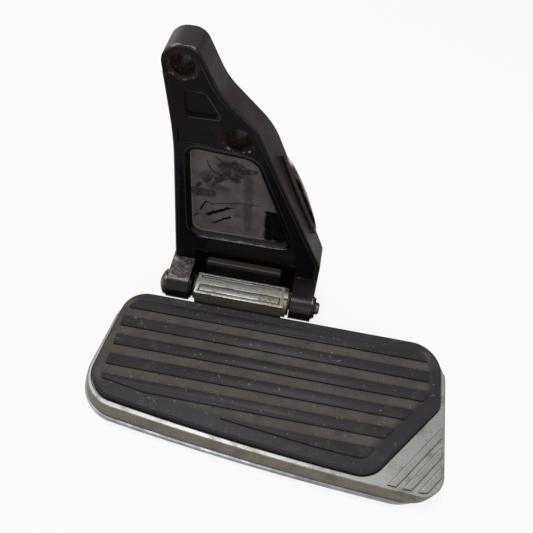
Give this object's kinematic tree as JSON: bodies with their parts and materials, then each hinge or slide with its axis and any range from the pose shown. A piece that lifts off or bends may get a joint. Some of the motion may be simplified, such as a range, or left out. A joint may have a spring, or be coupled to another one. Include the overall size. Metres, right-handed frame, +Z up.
{
  "type": "folding motorcycle floorboard",
  "caption": "Fold-up rider floorboard with a ribbed rubber tread on a cast board, hinged by a headed pin to an upright cast mounting bracket with a chrome trim.",
  "frame": {"origin": "centre of the upper bolt hole on the bracket's rear mounting face", "axes": "+Z up, -Y from the mounting face out over the board, +X along the hinge pin towards its clipped end"},
  "size_m": [0.278, 0.175, 0.2352],
  "materials": {
    "cast_black": "gloss black paint on a casting, dusty",
    "rusty_steel": "bare, rusty",
    "dark_steel": "dark zinc",
    "pin_steel": "yellow zinc, worn",
    "arm_metal": "bare, pitted",
    "bronze": "sintered",
    "board_metal": "bare, worn",
    "tread_rubber": "moulded, dusty",
    "seal_rubber": "matte",
    "plate_metal": "polished, worn",
    "trim_dark": "gloss",
    "trim_chrome": "polished"
  },
  "bodies": {
    "bracket": {"bracket": "cast_black", "stop_plate": "rusty_steel", "stop_plate_screws": "dark_steel", "hinge_pin": "pin_steel", "pin_washer": "dark_steel", "pin_clip": "dark_steel", "thrust_washer": "dark_steel", "spring_washer": "dark_steel", "trim_base": "trim_dark", "trim_cap": "trim_chrome", "trim_screws": "dark_steel"},
    "board": {"hinge_arm": "arm_metal", "left_bush": "bronze", "right_bush": "bronze", "board_frame": "board_metal", "tread_mat": "tread_rubber", "mat_retainers": "dark_steel", "arm_screws": "dark_steel", "edge_seal": "seal_rubber", "bottom_plate": "plate_metal", "plate_screws": "dark_steel"}
  },
  "joints": [
    {"name": "fold_hinge", "type": "hinge", "parent": "bracket", "child": "board", "pos_m": [0.0439, -0.04, -0.1945], "axis": [-1, 0, 0], "range_deg": [0, 90]}
  ]
}
